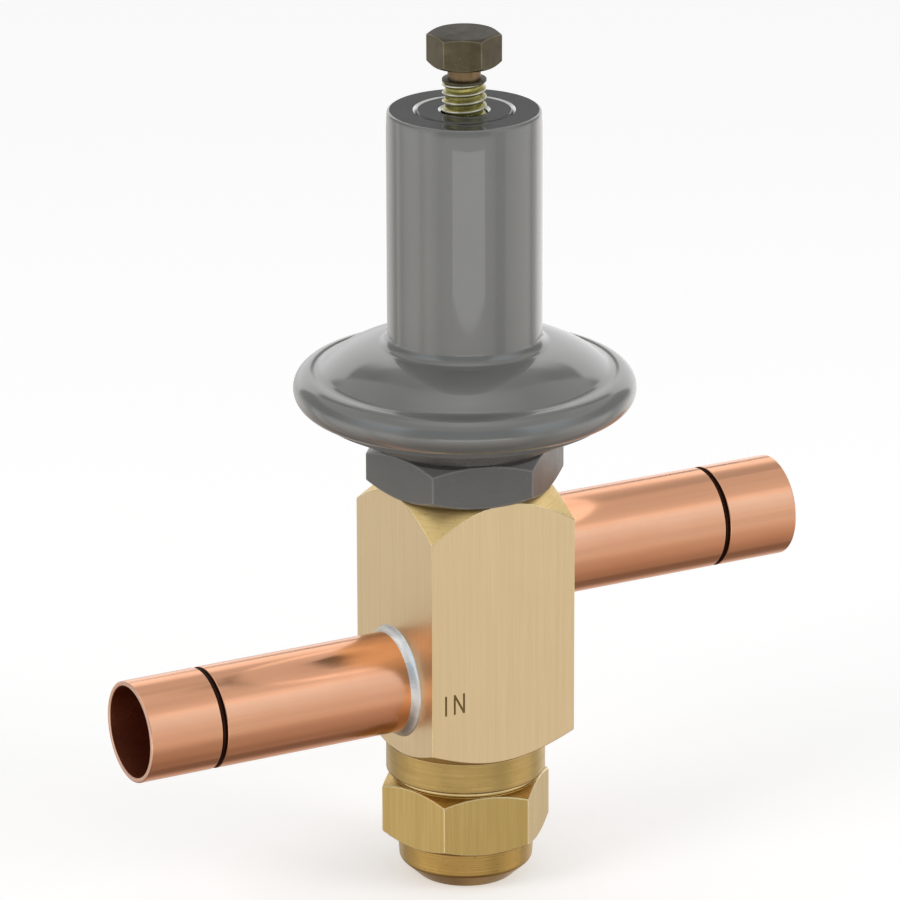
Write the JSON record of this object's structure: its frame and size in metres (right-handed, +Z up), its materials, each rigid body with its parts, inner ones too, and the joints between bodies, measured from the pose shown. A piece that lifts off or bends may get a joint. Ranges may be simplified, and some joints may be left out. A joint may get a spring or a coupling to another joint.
{
  "type": "crankcase pressure regulator valve",
  "caption": "Spring-loaded refrigeration pressure regulator: square brass body with two copper solder tubes, hexagon bottom plug, diaphragm head and an adjusting screw on top.",
  "frame": {"origin": "centre of the bottom plug's flat end face, on the valve's main axis", "axes": "+Z up the valve's axis towards the adjusting screw, +X out along the outlet tube, inlet tube towards -X, the body's marked face towards -Y"},
  "size_m": [0.1266, 0.0592, 0.1529],
  "materials": {
    "turned_brass": "machined, satin",
    "body_brass": "fine vertical brushing, satin",
    "tube_copper": "drawn copper tube, polished",
    "copper_gasket": "soft copper, dull",
    "silver_braze": "silver brazing alloy, bright",
    "stainless": "turned stainless steel",
    "seal_plastic": "fluoropolymer disc",
    "spring_steel": "drawn spring wire",
    "guide_bronze": "bearing bronze, turned",
    "adapter_grey": "satin grey coating on a turned hexagon",
    "housing_grey": "glossy grey enamel",
    "bush_grey": "grey enamel over a turned bush",
    "zinc_steel": "zinc-plated steel",
    "screw_zinc": "yellow-passivated zinc, darker on the head"
  },
  "bodies": {
    "root": {"bottom_plug": "turned_brass", "plug_gasket": "copper_gasket", "valve_body": "body_brass", "inlet_tube": "tube_copper", "outlet_tube": "tube_copper", "inlet_braze_ring": "silver_braze", "outlet_braze_ring": "silver_braze", "seat_ring": "stainless", "rod_guide_bush": "guide_bronze", "adapter_gasket": "copper_gasket", "hex_adapter": "adapter_grey", "lower_casing": "housing_grey", "diaphragm": "stainless", "spring_housing": "housing_grey", "threaded_bush": "bush_grey"},
    "stem": {"buffer_plate": "zinc_steel", "thrust_pad": "guide_bronze", "push_rod": "stainless", "valve_piston": "turned_brass", "disc_seal": "seal_plastic", "seal_retainer": "stainless", "return_spring": "spring_steel"},
    "spring_seat": {"upper_spring_seat": "zinc_steel", "range_spring": "spring_steel"},
    "screw": {"adjusting_screw": "screw_zinc"}
  },
  "joints": [
    {"name": "valve_stroke", "type": "slide", "parent": "root", "child": "stem", "axis": [0, 0, 1], "range_m": [0, 0.0025], "stiffness_N_per_m": 2000, "deforming": ["return_spring", "diaphragm"]},
    {"name": "spring_seat_travel", "type": "slide", "parent": "root", "child": "spring_seat", "axis": [0, 0, 1], "range_m": [-0.006, 0.0045], "deforming": ["range_spring"]},
    {"name": "screw_spin", "type": "hinge", "parent": "spring_seat", "child": "screw", "pos_m": [0, 0, 0.15], "axis": [0, 0, 1], "range_deg": [-1470, 1110]}
  ],
  "couplings": [
    {"joint": "screw_spin", "follows": "spring_seat_travel", "rad_per_m": 4188.8}
  ]
}
